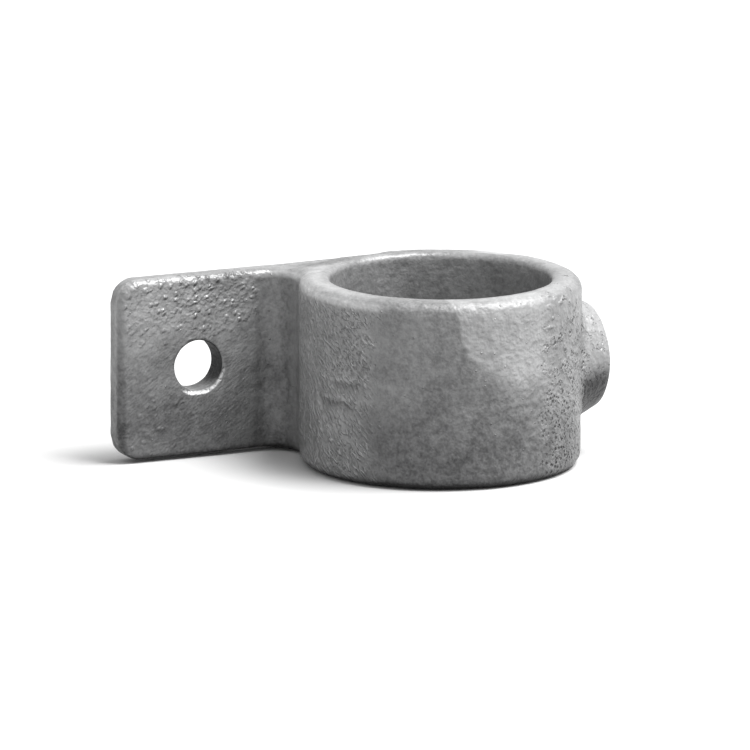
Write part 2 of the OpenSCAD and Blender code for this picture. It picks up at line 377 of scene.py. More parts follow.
class CastingPlan:
    """Columns of the casting's mesh, seen along the bore.

    The ring's columns go round it from the back, over the boss and the front, to the lug's root fillet. The
    lug has as many columns on its front as on its back, from the root to the free end. Each column has a
    point on the outline and the outward direction there, and those of the lug also have the radius of their
    rim and the height of their straight wall.
    """

    def __init__(self, s):
        cell = s.mesh_cell
        centre_x, centre_y = root_centre(s)

        # Turns where the ring starts at the back and where it begins to fan out inside, and the room that
        # the windows of the boss and of the bolt hole leave round them
        back_turn, fan_turn = math.radians(104), math.radians(75)
        boss_room, hole_room = 1.2, 3.8
        front_turn = math.atan2(centre_y, centre_x) - 2 * math.pi
        window_turn = math.asin((s.boss_root + s.boss_fillet + boss_room) / s.ring_radius)
        pitch = cell / s.ring_radius
        before = stations(back_turn, window_turn, pitch)
        over = stations(window_turn, -window_turn, pitch)
        after = stations(-window_turn, front_turn, pitch)
        turn = joined(before, over, after)
        self.boss_cols = np.arange(len(before) - 1, len(before) + len(over) - 1)
        self.ring_out = np.stack([np.cos(turn), np.sin(turn)], -1)
        self.ring_at = self.ring_out * s.ring_radius

        # Inside, the ring's columns fan out until their first and last meet at the lug's root
        middle = (back_turn + front_turn) / 2
        lean = (2 * math.pi - back_turn + front_turn) / 2
        far = np.abs(turn - middle)
        turn_in = turn + np.sign(turn - middle) * lean * ease(far, start=fan_turn, full=far.max())
        self.bore_out = np.stack([np.cos(turn_in), np.sin(turn_in)], -1)

        # The lug: first round the root fillet, then straight to where its end starts to round
        hole_half = s.hole_radius + hole_room
        arc = stations(math.atan2(-centre_y, -centre_x), math.pi / 2, cell / s.lug_root)
        root_back_x = np.linspace(self.ring_at[0, 0], centre_x, len(arc))
        near = stations(centre_x, -s.hole_place + hole_half, cell)
        beside = stations(-s.hole_place + hole_half, -s.hole_place - hole_half, cell)
        far_x = stations(-s.hole_place - hole_half, s.lug_edge - s.lug_end, cell)
        straight = joined(near, beside, far_x)
        first = len(arc) + len(near) - 2
        self.hole_cols = np.arange(first, first + len(beside))
        self.hole_half = hole_half
        root_out = -np.stack([np.cos(arc), np.sin(arc)], -1)
        root_at = np.array([centre_x, centre_y]) - root_out * s.lug_root
        flat = np.ones(len(straight))
        front_y = 2 * s.lug_mid - s.lug_back
        self.front_at = joined(root_at, np.stack([straight, flat * front_y], -1))
        self.front_out = joined(root_out, np.stack([0 * flat, -flat], -1))
        back_x = joined(root_back_x, straight)
        self.back_at = np.stack([back_x, np.full(len(back_x), s.lug_back)], -1)
        self.back_out = np.stack([0 * back_x, 0 * back_x + 1], -1)
        self.back_at[0] = self.ring_at[0]
        self.back_out[0] = self.ring_out[0]

        # Rim radius, top and straight wall of the lug's columns, and the middle line of its rim
        root_share = shares(len(arc) - 1)
        along = ease(np.concatenate([root_share, np.ones(len(straight) - 1)]), start=0, full=1)
        self.edge = mix(s.ring_edge, s.lug_edge, along)
        top = mix(s.ring_height / 2, s.lug_height / 2, along)
        corner_x = s.lug_corner - s.lug_end
        corner_z = s.lug_height / 2 - s.lug_corner
        inner_r = s.lug_corner - s.lug_edge
        beyond = np.maximum(corner_x - back_x, 0)
        rise = np.sqrt(np.maximum(inner_r**2 - beyond**2, 0))
        self.reach = np.where(beyond > 0, corner_z + rise, top - self.edge)
        self.rim_out = np.stack([-beyond, np.where(beyond > 0, rise, inner_r)], -1) / inner_r
        bore_mouth = self.bore_out[0] * (s.bore_radius + s.bore_edge)
        root_mid = mix(bore_mouth, np.array([centre_x, s.lug_mid]), root_share[:, None])
        self.mid_at = joined(root_mid, np.stack([straight, flat * s.lug_mid], -1))
        self.half_rows = math.ceil((s.lug_height / 2 - s.lug_edge) / cell)


def upright(at, heights):
    """A grid of walls: the outline's points side by side, each at its own run of heights."""
    flat = np.broadcast_to(at[None], (heights.shape[0],) + at.shape)
    return np.concatenate([flat, heights[..., None]], -1)


def casting_walls(s, plan):
    """The outer wall as one grid: from the lug's free end along its front, round the ring and back."""
    at = joined(plan.front_at[::-1], plan.ring_at[::-1], plan.back_at)
    ring_reach = np.full(len(plan.ring_at), s.ring_height / 2 - s.ring_edge)
    reach = joined(plan.reach[::-1], ring_reach, plan.reach)
    rows = np.linspace(1, -1, 2 * plan.half_rows + 1)
    return upright(at, rows[:, None] * reach[None])


def casting_rim(s, plan, steps, flat_steps):
    """The lug's rim as one grid: a section from front to back, carried along its top, end and bottom.

    The section is a quarter circle up from the front face, a straight line to the middle of the thickness, a
    straight line on and a quarter circle down to the back face.
    """
    rows = np.linspace(1, -1, 2 * plan.half_rows + 1)[:, None]
    end = len(rows) - 2

    def path(values, last_values):
        return np.concatenate([values, np.repeat(last_values, end, 0), values[::-1]])

    height = np.concatenate([plan.reach, rows[1:-1, 0] * plan.reach[-1], -plan.reach[::-1]])
    out_x = path(plan.rim_out[:, 0], plan.rim_out[-1:, 0] * 0 - 1)
    out_z = np.concatenate([plan.rim_out[:, 1], np.zeros(end), -plan.rim_out[::-1, 1]])
    edge = path(plan.edge, plan.edge[-1:])[:, None]
    out = np.stack([out_x, 0 * out_x, out_z], -1)

    def side(at, outward):
        place = np.column_stack([path(at, at[-1:]), height])
        away = np.column_stack([path(outward, outward[-1:]), 0 * height])
        return quarter_round(place - edge * away, edge, away, out, steps)

    middle = np.column_stack([path(plan.mid_at, plan.mid_at[-1:]), height]) + edge * out
    front = side(plan.front_at, plan.front_out)
    back = side(plan.back_at, plan.back_out)
    amounts = shares(flat_steps)[1:]
    return np.array(front + fan(front[-1], middle, amounts) + fan(middle, back[-1], amounts) + back[-2::-1])


def casting_ring_top(s, plan, steps, flat_steps):
    """The ring's upper rim and face as one grid: a quarter circle in from the wall, then a flat."""
    out = np.column_stack([plan.ring_out, 0 * plan.ring_out[:, 0]])
    up = np.array([0, 0, 1.0])
    centre = out * (s.ring_radius - s.ring_edge) + up * (s.ring_height / 2 - s.ring_edge)
    edge = quarter_round(centre, s.ring_edge, out, up, steps)
    mouth_at = plan.bore_out * (s.bore_radius + s.bore_edge)
    mouth = np.column_stack([mouth_at, np.full(len(out), s.ring_height / 2)])
    return np.array(edge + fan(edge[-1], mouth, shares(flat_steps)[1:]))


def casting_bore(s, plan, steps):
    """The bore as one grid: a quarter circle at its upper mouth, its wall, and one at its lower mouth."""
    quarter = (1 - shares(steps)) * math.pi / 2
    mouth_r = s.bore_radius + s.bore_edge * (1 - np.cos(quarter))
    mouth_z = s.ring_height / 2 - s.bore_edge * (1 - np.sin(quarter))
    wall_z = np.linspace(mouth_z[-1], -mouth_z[-1], 2 * plan.half_rows + 1)
    radius = np.concatenate([mouth_r[:-1], np.full(len(wall_z), s.bore_radius), mouth_r[-2::-1]])
    height = np.concatenate([mouth_z[:-1], wall_z, -mouth_z[-2::-1]])
    at = plan.bore_out[::-1][None] * radius[:, None, None]
    return np.concatenate([at, np.broadcast_to(height[:, None, None], at.shape[:2] + (1,))], -1)


def on_cylinder(points, radius):
    """Points moved along X onto a cylinder round the bore's axis."""
    return np.column_stack([np.sqrt(radius**2 - points[:, 1] ** 2), points[:, 1:]])


def boss_sleeve(s, outer, inner):
    """The boss and its hole as one grid of loops round the screw's axis.

    They run from a window in the outer wall in to the boss's root, up its side on a curve, over its rim and
    face, down the chamfer and the hole, and out to a window in the bore. The curve up the side goes from the
    foot to the rim and bends towards a loop at the root: its three loops count as the square of what is left
    of the way, twice what is left times what is done, and the square of what is done.
    """
    foot_room, bend_room = 0.3, 0.4
    foot_steps, side_steps, rim_steps, face_steps, hole_steps, bore_steps = 4, 16, 6, 5, 14, 6
    turn = np.arctan2(outer[:, 2], outer[:, 1])
    taper = boss_taper(s)
    foot = on_cylinder(round_screw(0, s.boss_root + s.boss_fillet + foot_room, turn), s.ring_radius)
    bend = on_cylinder(round_screw(0, s.boss_root + bend_room, turn), s.ring_radius)
    rim_x = s.boss_end - s.boss_edge
    rim_r = boss_radius(s, rim_x) - s.boss_edge / math.cos(taper)
    rim = [
        round_screw(rim_x + s.boss_edge * math.sin(lean), rim_r + s.boss_edge * math.cos(lean), turn)
        for lean in mix(taper, math.pi / 2, shares(rim_steps))
    ]
    levels = [on_cylinder(row, s.ring_radius) for row in fan(outer, foot, shares(foot_steps))]
    for t in shares(side_steps)[1:-1]:
        levels.append((1 - t) ** 2 * foot + 2 * t * (1 - t) * bend + t * t * rim[0])
    levels += rim
    face_radii = mix(rim_r, s.mouth, shares(face_steps)[1:])
    levels += [round_screw(s.boss_end, radius, turn) for radius in face_radii]
    hole_r = s.thread_radius + s.thread_room
    start = round_screw(s.boss_end - (s.mouth - hole_r), hole_r, turn)
    stop = on_cylinder(round_screw(0, hole_r, turn), s.bore_radius)
    levels += fan(start, stop, shares(hole_steps))
    levels += [on_cylinder(row, s.bore_radius) for row in fan(stop, inner, shares(bore_steps)[1:])]
    return closed_sleeve(levels)


def bolt_hole_sleeve(s, front, back):
    """The bolt hole as one grid of loops: from a window in the front face over its rim, through and out."""
    face_steps, rim_steps, wall_steps = 7, 5, 8
    turn = np.arctan2(front[:, 2], front[:, 0] + s.hole_place)
    half = s.lug_back - s.lug_mid

    def loop(radius, y):
        return np.column_stack([radius * np.cos(turn) - s.hole_place, y + 0 * turn, radius * np.sin(turn)])

    quarter = shares(rim_steps) * math.pi / 2
    rim = s.hole_radius + s.hole_edge * (1 - np.sin(quarter))
    depth = half - s.hole_edge * (1 - np.cos(quarter))
    front_rim = [loop(radius, y) for radius, y in zip(rim, s.lug_mid - depth)]
    back_rim = [loop(radius, y) for radius, y in zip(rim[::-1], s.lug_mid + depth[::-1])]
    amounts = shares(face_steps)
    levels = fan(front, front_rim[0], amounts[:-1]) + front_rim
    levels += fan(front_rim[-1], back_rim[0], shares(wall_steps)[1:-1])
    levels += back_rim + fan(back_rim[-1], back, amounts[1:])
    return closed_sleeve(levels)


def grid_faces(grid, first, keep=None):
    """The four corners of each cell of a grid whose points are numbered from first."""
    rows, cols = grid.shape[:2]
    index = first + np.arange(rows * cols).reshape(rows, cols)
    cells = np.stack([index[:-1, :-1], index[1:, :-1], index[1:, 1:], index[:-1, 1:]], -1)
    return cells.reshape(-1, 4) if keep is None else cells[keep]


def window_mask(grid, *windows):
    """True for each cell of a grid that lies in none of the windows."""
    keep = np.ones((grid.shape[0] - 1, grid.shape[1] - 1), bool)
    for rows, cols in windows:
        keep[min(rows) : max(rows), min(cols) : max(cols)] = False
    return keep


def casting_grids(s):
    """All the grids of the casting's skin, each with the mask of the cells that it keeps."""
    plan = CastingPlan(s)
    rim_steps, flat_steps, mouth_steps = 8, 6, 4
    walls = casting_walls(s, plan)
    bore = casting_bore(s, plan, mouth_steps)
    rows = np.arange(2 * plan.half_rows + 1)
    bore_rows = rows + mouth_steps
    lug_count = len(plan.front_at)
    ring_count = len(plan.ring_at)

    boss_in_bore = (ring_count - 1 - plan.boss_cols)[::-1]
    boss_in_walls = boss_in_bore + lug_count - 1
    lug_wall = s.lug_height / 2 - s.lug_edge
    hole_rows = int(round(plan.hole_half / lug_wall * plan.half_rows))
    middle_rows = np.arange(plan.half_rows - hole_rows, plan.half_rows + hole_rows + 1)
    front_cols = (lug_count - 1 - plan.hole_cols)[::-1]
    back_cols = (lug_count + ring_count - 2 + plan.hole_cols)[::-1]

    boss_windows = [window_loop(walls, rows, boss_in_walls), window_loop(bore, bore_rows, boss_in_bore)]
    hole_cells = [(middle_rows, front_cols), (middle_rows, back_cols)]
    hole_windows = [window_loop(walls, *cells) for cells in hole_cells]
    top = casting_ring_top(s, plan, rim_steps, flat_steps)
    return [
        (walls, window_mask(walls, (rows, boss_in_walls), *hole_cells)),
        (casting_rim(s, plan, rim_steps, flat_steps), None),
        (top, None),
        (top * np.array([1, 1, -1]), None),
        (bore, window_mask(bore, (bore_rows, boss_in_bore))),
        (boss_sleeve(s, *boss_windows), None),
        (bolt_hole_sleeve(s, *hole_windows), None),
    ]


def sewn_mesh(name, grids, seam=0.002):
    """A mesh of grids in millimetres: points nearer than the seam are merged, and faces look outwards."""
    points = np.concatenate([grid.reshape(-1, 3) for grid, _ in grids])
    firsts = np.cumsum([0] + [grid.shape[0] * grid.shape[1] for grid, _ in grids])
    faces = np.concatenate([grid_faces(grid, first, keep) for (grid, keep), first in zip(grids, firsts)])
    mesh = bpy.data.meshes.new(name)
    mesh.vertices.add(len(points))
    mesh.vertices.foreach_set("co", points.ravel())
    mesh.loops.add(faces.size)
    mesh.loops.foreach_set("vertex_index", faces.ravel())
    mesh.polygons.add(len(faces))
    mesh.polygons.foreach_set("loop_start", np.arange(0, faces.size, 4))
    mesh.update(calc_edges=True)
    work = bmesh.new()
    work.from_mesh(mesh)
    loose = [vert for vert in work.verts if not vert.link_faces]
    bmesh.ops.delete(work, geom=loose, context="VERTS")
    bmesh.ops.remove_doubles(work, verts=work.verts, dist=seam)
    bmesh.ops.recalc_face_normals(work, faces=work.faces)
    open_edges = sum(1 for edge in work.edges if len(edge.link_faces) != 2)
    work.to_mesh(mesh)
    work.free()
    if open_edges:
        raise ValueError(f"{name} has {open_edges} edges that do not join two faces")
    return mesh


def read_points(mesh):
    """The mesh's points as rows of three numbers."""
    points = np.empty(len(mesh.vertices) * 3)
    mesh.vertices.foreach_get("co", points)
    return points.reshape(-1, 3)


def finish_piece(name, mesh, points, material, body, slot, *nodes):
    """Puts points in millimetres into a mesh and shows it, shaded smooth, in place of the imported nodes."""
    mesh.vertices.foreach_set("co", (points * MM).ravel())
    mesh.polygons.foreach_set("use_smooth", np.ones(len(mesh.polygons), bool))
    mesh.update()
    piece = bpy.data.objects.new(name, mesh)
    bpy.context.scene.collection.objects.link(piece)
    mesh.materials.append(material)
    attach(piece, body)
    if nodes:
        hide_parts(*nodes)
    return piece


def pebbles(points, size, seed):
    """Rounded grains about size across, from 0 to 1 high.

    Every lattice cell holds one grain at a place of its own. Its height falls from its middle as one less
    the square of the distance, squared, and the highest grain at a point counts.
    """
    smallest, largest = 0.45, 0.8
    scaled = points / size
    cells = np.floor(scaled).astype(np.int64)
    height = np.zeros(len(points))
    for step in np.ndindex(3, 3, 3):
        near = cells + np.array(step) - 1
        place = near + np.stack([lattice_value(near, seed + axis) for axis in range(3)], -1)
        reach = mix(smallest, largest, lattice_value(near, seed + 3))
        away = np.sum((scaled - place) ** 2, -1) / reach**2
        height = np.maximum(height, np.clip(1 - away, 0, 1) ** 2 * reach)
    return height / largest


def grainy_zone(points, s):
    """Where the sand left its coarsest grain: the upper part of the lug's front, from 0 to 1."""
    x, y, z = points[:, 0], points[:, 1], points[:, 2]
    wander, drop = 2.5, 0.25
    height = z + wander * waves(points, size=7, seed=11) - drop * np.maximum(x + s.hole_place, 0)
    off_ring = ease(x, start=1 - s.ring_radius, full=-s.ring_radius - 7)
    off_end = ease(x, start=-s.lug_end, full=3 - s.lug_end)
    front = ease(y, start=s.lug_mid, full=s.lug_mid - 1.5)
    return ease(height, start=2, full=13) * off_ring * off_end * front


def cast_relief(points, s, looks):
    """Height of the cast skin's own unevenness above the true surface.

    Long waves of noise, shorter ones and the lug's grains are added up. They fade out in the bore and in the
    screw's hole.
    """
    x, y, z = points[:, 0], points[:, 1], points[:, 2]
    mean_pebble, bore_share = 0.25, 0.3
    long_waves = waves(points, size=9, seed=1) + 0.5 * waves(points, size=4.5, seed=2)
    short_waves = waves(points, size=2.4, seed=3) + 0.6 * waves(points, size=1.3, seed=4)
    outside = ease(np.hypot(x, y), start=s.bore_radius + 0.3, full=s.bore_radius + 2)
    off_screw = np.where(x > 0, ease(np.hypot(y, z), start=s.mouth, full=s.mouth + 1.5), 1)
    height = looks.swell * long_waves + looks.short_swell * short_waves
    height += looks.grain * grainy_zone(points, s) * (pebbles(points, size=1.7, seed=21) - mean_pebble)
    return height * mix(bore_share, 1, outside) * off_screw


# Shader nodes


def operator_pair(operation):
    """The plain and the reflected form of an operator that adds one Math node."""

    def plain(self, other):
        return self.shader.math(operation, self, other)

    def reflected(self, other):
        return self.shader.math(operation, other, self)

    return plain, reflected


class Signal:
    """An output of a shader node. Arithmetic on it adds Math nodes to its material."""

    def __init__(self, shader, socket):
        self.shader = shader
        self.socket = socket

    __add__, __radd__ = operator_pair("ADD")
    __sub__, __rsub__ = operator_pair("SUBTRACT")
    __mul__, __rmul__ = operator_pair("MULTIPLY")
    __truediv__, __rtruediv__ = operator_pair("DIVIDE")


class Shader:
    """Adds nodes to one material or world."""

    def __init__(self, owner):
        owner.use_nodes = True
        self.owner = owner
        self.tree = owner.node_tree
        kinds = ("BSDF_PRINCIPLED", "BACKGROUND")
        self.surface = next(node for node in self.tree.nodes if node.type in kinds)

    def node(self, kind, settings=None, values=None, output=0):
        """Adds a node of a kind, makes its settings, then sets or links its inputs, and gives one output."""
        made = self.tree.nodes.new(kind)
        for name, value in (settings or {}).items():
            setattr(made, name, value)
        for name, value in (values or {}).items():
            self.feed(made.inputs[name], value)
        return Signal(self, made.outputs[output])

    def math(self, operation, *values):
        """The outcome of one Math node."""
        return self.node("ShaderNodeMath", {"operation": operation}, dict(enumerate(values)))

    def hypot(self, first, second):
        """Length of the longest side of a right-angled triangle, from its other two sides."""
        return self.math("SQRT", first * first + second * second)

    def size(self, value):
        """The value without its sign."""
        return self.math("ABSOLUTE", value)

    def above(self, value):
        """The value where it lies above 0, and 0 elsewhere."""
        return self.math("MAXIMUM", value, 0.0)

    def feed(self, socket, value):
        """Links a signal to a socket, or sets the socket to a plain value."""
        if isinstance(value, Signal):
            self.tree.links.new(value.socket, socket)
        else:
            socket.default_value = value

    def set(self, **values):
        """Sets or links the sockets of the main shader. Underscores stand for spaces."""
        for name, value in values.items():
            self.feed(self.surface.inputs[name.replace("_", " ").title()], value)

    def dull(self, level):
        """Sets the strength of the mirror light that plain surfaces send back. It is the same all over."""
        self.feed(self.surface.inputs["Specular IOR Level"], level)

    def place(self):
        """The point on the piece, in millimetres."""
        at = self.node("ShaderNodeTexCoord", output="Object")
        return self.node("ShaderNodeVectorMath", {"operation": "SCALE"}, {0: at, "Scale": 1 / MM})

    def axes(self, vector):
        """The three parts of a vector."""
        first = self.node("ShaderNodeSeparateXYZ", values={0: vector})
        made = first.socket.node
        return [Signal(self, made.outputs[axis]) for axis in "XYZ"]

    def pinched(self, vector, amount):
        """A vector scaled up along X, so that a pattern made from it is narrower that way."""
        values = {0: vector, 1: (amount, 1.0, 1.0)}
        return self.node("ShaderNodeVectorMath", {"operation": "MULTIPLY"}, values)

    def slanted(self, along, up, lean, drawn_out):
        """The vector of two lengths on a surface, turned by the lean in radians.

        Its first part is scaled by drawn_out, so that a pattern made from it is longer that way.
        """
        turn_cos, turn_sin = drawn_out * math.cos(lean), drawn_out * math.sin(lean)
        down = turn_cos * along + turn_sin * up
        across = math.cos(lean) * up - math.sin(lean) * along
        return self.node("ShaderNodeCombineXYZ", values={0: down, 1: across, 2: 0.0})

    def noise(self, vector, size, detail, rough=0.5):
        """Noise from 0 to 1 whose blots are about as wide as size."""
        values = {"Vector": vector, "Scale": 1 / size, "Detail": detail, "Roughness": rough}
        return self.node("ShaderNodeTexNoise", {"normalize": True}, values, "Fac")

    def spots(self, vector, size):
        """Distance to the nearest of scattered points about size apart, as a share of size."""
        values = {"Vector": vector, "Scale": 1 / size}
        return self.node("ShaderNodeTexVoronoi", {"feature": "F1"}, values, "Distance")

    def ease(self, value, start, full):
        """From 0 at start to 1 at full, level at both ends. start may lie above full."""
        values = {"Value": value, "From Min": start, "From Max": full}
        return self.node("ShaderNodeMapRange", {"interpolation_type": "SMOOTHSTEP"}, values)

    def mask(self, *borders):
        """The product of one easing for each border, which is a value with its start and its full place."""
        product = self.ease(*borders[0])
        for border in borders[1:]:
            product = product * self.ease(*border)
        return product

    def blend(self, first, second, amount):
        """A colour between two. The node's colour sockets go by number, because their names repeat."""
        factor, first_colour, second_colour, outcome = 0, 6, 7, 2
        values = {factor: amount, first_colour: first, second_colour: second}
        return self.node("ShaderNodeMix", {"data_type": "RGBA"}, values, outcome)

    def bump(self, height):
        """A normal bent by a height in millimetres."""
        values = {"Height": height, "Distance": MM, "Strength": 1.0}
        return self.node("ShaderNodeBump", values=values, output="Normal")

    def in_view(self):
        """1 for what the camera sees, straight, mirrored or through glass, and 0 for light on the object."""
        kinds = ("Camera", "Glossy", "Transmission")
        rays = [self.node("ShaderNodeLightPath", output=f"Is {kind} Ray") for kind in kinds]
        return self.math("MAXIMUM", self.math("MAXIMUM", rays[0], rays[1]), rays[2])


def colour(value):
    """A colour with full alpha, as sockets want it."""
    return (*value, 1.0)


class ZincCoat:
    """The zinc coat of the casting. Each method adds parts of it to the relief, the tone and the roughness.

    The relief is in millimetres, and the tone goes from 0, the dark zinc, to 1, the light one. A mask has
    one or more borders: each is a value, the place where it starts to count and the place where it counts
    in full. The places are millimetres, turns in radians or levels of a noise.
    """

    # The folds and the vein on the ring's left: the middle of each along the arc from the front, its height
    # there, its slope and half its length
    folds = ((-37.6, 0.7, 0.076, 5.5), (-40.7, -3.9, 0.042, 6.0))
    vein = (-27.0, 1.546, -0.146, 8.0)

    def __init__(self, s, looks):
        self.s = s
        self.looks = looks
        self.ring_top = s.ring_height / 2
        self.lug_top = s.lug_height / 2
        self.hole_x = -s.hole_place
        self.wall_x = -s.ring_radius
        self.tone = looks.middle_tone
        self.relief = 0.0
        self.roughness = looks.gloss
        zinc = self.zinc = Shader(bpy.data.materials.new("galvanised_casting"))

        # Places on the casting. The turn and the arc go from its front towards the boss
        at = self.at = zinc.place()
        self.x, self.y, self.z = zinc.axes(at)
        self.from_axis = zinc.hypot(self.x, self.y)
        self.turn = zinc.math("ARCTAN2", self.x, 0 - self.y)
        self.arc = self.turn * s.ring_radius

        # Masks of its parts
        bore, wall = s.bore_radius, s.ring_radius
        self.outside = zinc.mask((self.from_axis, bore + 1, bore + 3))
        self.on_ring = self.outside * zinc.mask((self.from_axis, wall + 1.5, wall + 0.3))
        self.ahead = self.on_ring * zinc.mask((self.y, 17, 15))
        self.on_lug = zinc.mask((self.x, 1 - wall, -wall - 6))
        self.front = zinc.mask((self.y, s.lug_mid, s.lug_mid - 1))
        self.lug_front = self.on_lug * self.front

        # Noises that several parts share
        self.grain = zinc.noise(at, size=0.55, detail=1)
        self.grit = zinc.noise(at, size=0.8, detail=1)
        self.peel = zinc.noise(at, size=1.3, detail=1)
        self.mottle = zinc.noise(at, size=2.4, detail=1)
        self.cloth = zinc.noise(at, size=2.6, detail=4, rough=0.6)
        self.clouds = zinc.noise(at, size=8.0, detail=3, rough=0.55)

    def put(self, part, **amounts):
        """Adds a part to the coat's tone, relief or roughness, by the amount given for each."""
        for name, amount in amounts.items():
            setattr(self, name, getattr(self, name) + amount * part)

    def above_line(self, middle, height, slope, wander):
        """How far a point of the ring lies above a slanting line, which wanders up and down."""
        return self.z - height - slope * (self.arc - middle) + wander * (self.cloth - 0.5)

    def all_over(self):
        """Fine grain, coarser peel and soft clouds. The coat is calmer on the ring's upper edge."""
        zinc, top = self.zinc, self.ring_top
        calmed, cloud_share = 0.7, 0.7
        rough = self.on_ring * (1 - calmed * zinc.mask((self.z, top - 4, top - 2)))
        sparks = zinc.mask((zinc.spots(self.at, size=2.6), 0.10, 0.03))
        cloudy = zinc.mask((mix(self.cloth, self.clouds, cloud_share), 0.36, 0.64))
        self.put(self.grain, relief=0.06 + 0.05 * rough)
        self.put(self.peel, relief=0.10 + 0.24 * rough)
        self.put(self.mottle, relief=0.25 + 0.20 * rough)
        self.put(self.outside * sparks, relief=0.16)
        self.put(cloudy - 0.5, tone=0.15)
        self.put(self.grain - 0.5, tone=0.28)
        self.put(zinc.mask((self.peel, 0.38, 0.62)) - 0.5, tone=0.07)
        self.put(self.on_ring * zinc.mask((self.x, 6, -6)), tone=-0.07)
        self.put(self.cloth - 0.5, roughness=0.12)

    def drained(self):
        """Painted shade that grows darker low down, and deeper painted shade on the lower edge that stands
        on the floor.
        """
        wander = 8.0
        height = self.z + wander * (self.clouds - 0.5)
        # Painted shade, deeper further down, with a border that wanders
        self.put(self.zinc.mask((height, 14, -20)), tone=-0.26)
        # Deeper painted shade on the lower edge
        self.put(self.zinc.mask((self.z, 1.5 - self.lug_top, -self.ring_top)), tone=-0.53)

    def lug_grains(self):
        """The lug's front: coarse grains above with painted light on them, fading towards the ring, a few at
        the lower left, and a faint slanting weave.
        """
        zinc, x, z, hole_x = self.zinc, self.x, self.z, self.hole_x
        lean, drop, wander, fewest = 0.6, 0.25, 9.0, 0.65
        height = z + wander * (zinc.noise(self.at, size=6.0, detail=2) - 0.5) - drop * zinc.above(x - hole_x)
        grainy = self.lug_front * zinc.mask((height, 1, 13))
        coarse = grainy * mix(fewest, 1, zinc.mask((x, hole_x - 12, hole_x - 2)))
        scattered = self.lug_front * zinc.mask((x, hole_x + 3, hole_x - 7), (z, -2, -8))
        spots = zinc.spots(zinc.slanted(x, z, lean, drawn_out=0.8), size=1.5)
        lumps = zinc.mask((spots, 0.52, 0.04), (zinc.noise(self.at, size=1.5, detail=0), 0.34, 0.60))
        rubble = zinc.mask((zinc.noise(self.at, size=1.15, detail=1), 0.34, 0.70))
        weave = zinc.noise(zinc.slanted(x, z, lean, drawn_out=0.48), size=0.5, detail=0)
        self.put(coarse * lumps, relief=0.46)
        self.put(coarse * rubble, relief=0.16)
        self.put(scattered * lumps, relief=0.25)
        self.put((self.lug_front - grainy) * weave, relief=0.09)
        # Painted light on the upper grains, fading towards the ring
        self.put(grainy * zinc.mask((x, self.wall_x - 4, hole_x - 10)), tone=0.20)
        self.put(grainy * lumps, roughness=-0.10)

    def lug_edges(self):
        """The lug's lower right, a painted highlight along its upper edge by the ring, and painted shade
        down the rounded edge of its free end.
        """
        zinc, x, z, wall, top = self.zinc, self.x, self.z, self.wall_x, self.lug_top
        end, middle = -self.s.lug_end, self.s.lug_mid
        # The lug's lower right made a little paler, against the painted shade low down
        low_right = zinc.mask((x, self.hole_x, self.hole_x + 8), (x, wall + 4, wall - 1), (z, 0, -8))
        # Painted highlight along the lug's upper edge by the ring
        lip_light_and_shade = zinc.mask((x, wall - 4, wall + 1), (x, wall + 10, wall + 6), (z, top - 2.0, top - 1.2))
        lip_light_and_shade = lip_light_and_shade * zinc.mask((z, top + 0.2, top - 0.5)) * self.front * self.outside
        # Painted shade down the rounded edge of the lug's free end
        line = zinc.mask((x, end + 2, end + 0.8), (self.y, middle - 1, middle - 2))
        self.put(low_right * self.front, tone=0.09)
        self.put(lip_light_and_shade, tone=0.32, roughness=-0.12)
        self.put(self.lug_front * line, tone=-0.12)

    def lug_root(self):
        """The root fillet: a little painted shade, more of it low down, with a painted strip of light down
        its middle.
        """
        zinc, y = self.zinc, self.y
        centre_x, centre_y = root_centre(self.s)
        root = zinc.mask((self.x, centre_x - 2, centre_x), (y, centre_y - 4.5, centre_y - 3))
        root = root * self.outside * self.front
        # Painted shade on the root fillet, deeper low down, and a painted strip of light down its middle
        self.put(root, tone=-0.05)
        self.put(root * zinc.mask((self.z, -14, 0)), tone=-0.09)
        self.put(root * zinc.mask((y, centre_y + 4, centre_y)), tone=0.42)

    def bolt_hole(self):
        """The bolt hole: painted shade inside, most on its right, and a painted highlight on its rough lower
        rim.
        """
        zinc, z, radius = self.zinc, self.z, self.s.hole_radius
        shade_lean, rim_lean, raggedness = 0.5, 0.6, 1.3
        off_x = self.x - self.hole_x
        off_axis = zinc.hypot(off_x, z)
        ragged = off_axis + raggedness * (self.cloth - 0.5)
        inside = self.on_lug * zinc.mask((off_axis, radius + 0.3, radius + 0.1))
        low_side = self.on_lug * zinc.mask((rim_lean * off_x - z, 1.8, 4.5), (z, -0.6, -2.2))
        rim = zinc.mask((off_axis, radius + 0.25, radius + 0.5), (ragged, radius + 1.2, radius + 0.8))
        self.put(low_side * zinc.mask((ragged, radius + 1.3, radius + 0.3)), relief=-0.6)
        # Painted highlight on the rough lower rim
        self.put(low_side * rim * zinc.mask((self.grain, 0.24, 0.52)), tone=0.95)
        # Painted shade inside the hole, deepest on its right
        self.put(inside, tone=-0.05)
        self.put(inside * zinc.mask((off_x + shade_lean * z, -1, 4)), tone=-0.30, roughness=0.4)

    def ring_left(self):
        """The ring's left: a zone made paler by painted light, with pale strokes that lean, grit between
        them and pores above.
        """
        zinc, z, top = self.zinc, self.z, self.ring_top
        stroke_lean, border_wander = -0.85, 0.5
        left = self.ahead * zinc.mask((self.turn + border_wander * (self.cloth - 0.5), -0.82, -1.12))
        below_rim = left * zinc.mask((z, top - 1.5, top - 4))
        strokes = zinc.noise(zinc.slanted(self.arc, z, stroke_lean, drawn_out=0.35), size=0.62, detail=0)
        strokes = below_rim * zinc.mask((strokes, 0.46, 0.68), (self.mottle, 0.30, 0.60))
        grit = zinc.noise(self.at, size=0.9, detail=1)
        pores = below_rim * zinc.mask((grit, 0.46, 0.36), (z, -2, 5), (self.turn, -1.6, -1.2))
